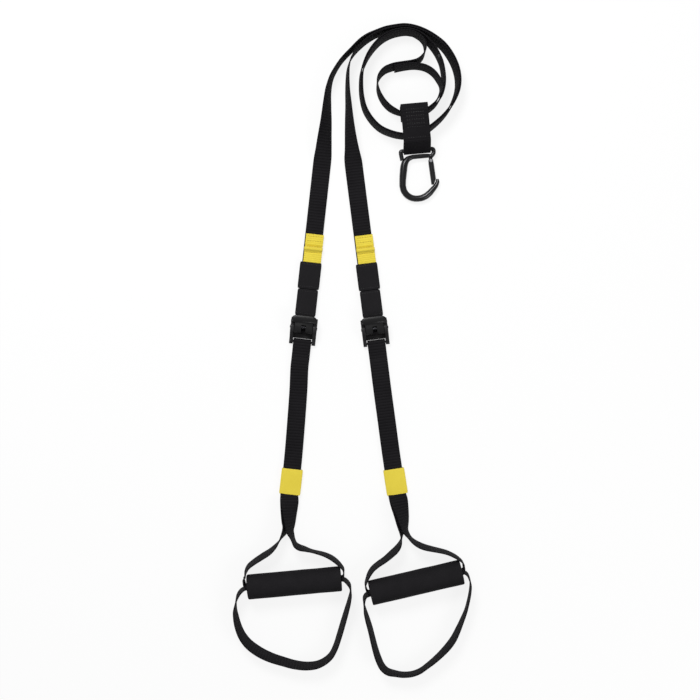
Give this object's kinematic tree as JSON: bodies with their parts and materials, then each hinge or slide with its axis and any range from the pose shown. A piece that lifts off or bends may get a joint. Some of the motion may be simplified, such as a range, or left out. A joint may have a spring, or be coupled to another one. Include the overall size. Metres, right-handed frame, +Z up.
{
  "type": "suspension trainer",
  "caption": "Suspension trainer of one long strap with a carabiner, and two cam-buckled handle straps, each with a foam grip and a foot loop, laid flat and coiled.",
  "frame": {"origin": "centre of the underside of the whole bounding box, on the floor that the trainer lies on", "axes": "+Y from the handles to the coil, +Z up from the floor, +X to the right seen from above"},
  "size_m": [0.3346, 0.9159, 0.035],
  "materials": {
    "webbing": "black ribbed nylon webbing",
    "yellow_webbing": "yellow webbing",
    "carabiner_metal": "black anodised",
    "steel": "bright spring steel",
    "painted_metal": "black powder coat",
    "foam": "matte closed-cell foam",
    "tube": "black plastic"
  },
  "bodies": {
    "strap": {"main_strap": "webbing", "locking_loop": "webbing", "anchor_tab": "webbing"},
    "carabiner": {"carabiner_frame": "carabiner_metal", "gate_rivet": "steel"},
    "carabiner_gate": {"carabiner_gate": "carabiner_metal", "gate_spring": "steel", "gate_plunger": "steel"},
    "left_handle": {"left_buckle_frame": "painted_metal", "left_cam_pin": "steel", "left_buckle_sleeve": "webbing", "left_strap_end": "webbing", "left_handle_strap": "webbing", "left_label": "yellow_webbing", "left_foot_loop": "webbing"},
    "left_adjuster": {"left_adjust_tab": "yellow_webbing", "left_tab_keeper": "webbing"},
    "left_cam": {"left_cam_lever": "painted_metal", "left_cam_spring": "steel"},
    "left_grip": {"left_grip_foam": "foam", "left_grip_tube": "tube"},
    "right_handle": {"right_buckle_frame": "painted_metal", "right_cam_pin": "steel", "right_buckle_sleeve": "webbing", "right_strap_end": "webbing", "right_handle_strap": "webbing", "right_label": "yellow_webbing", "right_foot_loop": "webbing"},
    "right_adjuster": {"right_adjust_tab": "yellow_webbing", "right_tab_keeper": "webbing"},
    "right_cam": {"right_cam_lever": "painted_metal", "right_cam_spring": "steel"},
    "right_grip": {"right_grip_foam": "foam", "right_grip_tube": "tube"}
  },
  "joints": [
    {"name": "carabiner_hinge", "type": "hinge", "parent": "strap", "child": "carabiner", "pos_m": [0.0907, 0.2845, 0.006], "axis": [-0.9962, -0.0872, 0], "range_deg": [0, 45]},
    {"name": "gate_hinge", "type": "hinge", "parent": "carabiner", "child": "carabiner_gate", "pos_m": [0.1101, 0.26924, 0.00571], "axis": [-0.0015, 0.0174, -0.9998], "range_deg": [0, 25], "stiffness_Nm_per_rad": 0.15, "springref_deg": -11.46},
    {"name": "left_handle_slide", "type": "slide", "parent": "strap", "child": "left_handle", "axis": [0.1101, 0.9939, 0], "range_m": [0, 0.038], "deforming": ["left_strap_end"]},
    {"name": "left_adjuster_slide", "type": "slide", "parent": "left_handle", "child": "left_adjuster", "axis": [0.1101, 0.9939, 0], "range_m": [0, 0.038]},
    {"name": "left_cam_hinge", "type": "hinge", "parent": "left_handle", "child": "left_cam", "pos_m": [-0.06961, 0.03307, 0.0133], "axis": [-0.9939, 0.1101, 0], "range_deg": [0, 16], "stiffness_Nm_per_rad": 0.3, "springref_deg": -11.46},
    {"name": "left_grip_hinge", "type": "hinge", "parent": "left_handle", "child": "left_grip", "pos_m": [-0.0824, -0.3256, 0.0175], "axis": [0.9958, 0.0915, 0], "continuous": true},
    {"name": "right_handle_slide", "type": "slide", "parent": "strap", "child": "right_handle", "axis": [-0.1265, 0.992, 0], "range_m": [0, 0.038], "deforming": ["right_strap_end"]},
    {"name": "right_adjuster_slide", "type": "slide", "parent": "right_handle", "child": "right_adjuster", "axis": [-0.1265, 0.992, 0], "range_m": [0, 0.038]},
    {"name": "right_cam_hinge", "type": "hinge", "parent": "right_handle", "child": "right_cam", "pos_m": [0.03063, 0.03166, 0.0133], "axis": [-0.992, -0.1265, 0], "range_deg": [0, 16], "stiffness_Nm_per_rad": 0.3, "springref_deg": -11.46},
    {"name": "right_grip_hinge", "type": "hinge", "parent": "right_handle", "child": "right_grip", "pos_m": [0.0887, -0.3251, 0.0175], "axis": [0.974, 0.2267, 0], "continuous": true}
  ],
  "couplings": [
    {"joint": "left_adjuster_slide", "follows": "left_handle_slide", "ratio": 1},
    {"joint": "right_adjuster_slide", "follows": "right_handle_slide", "ratio": 1}
  ]
}
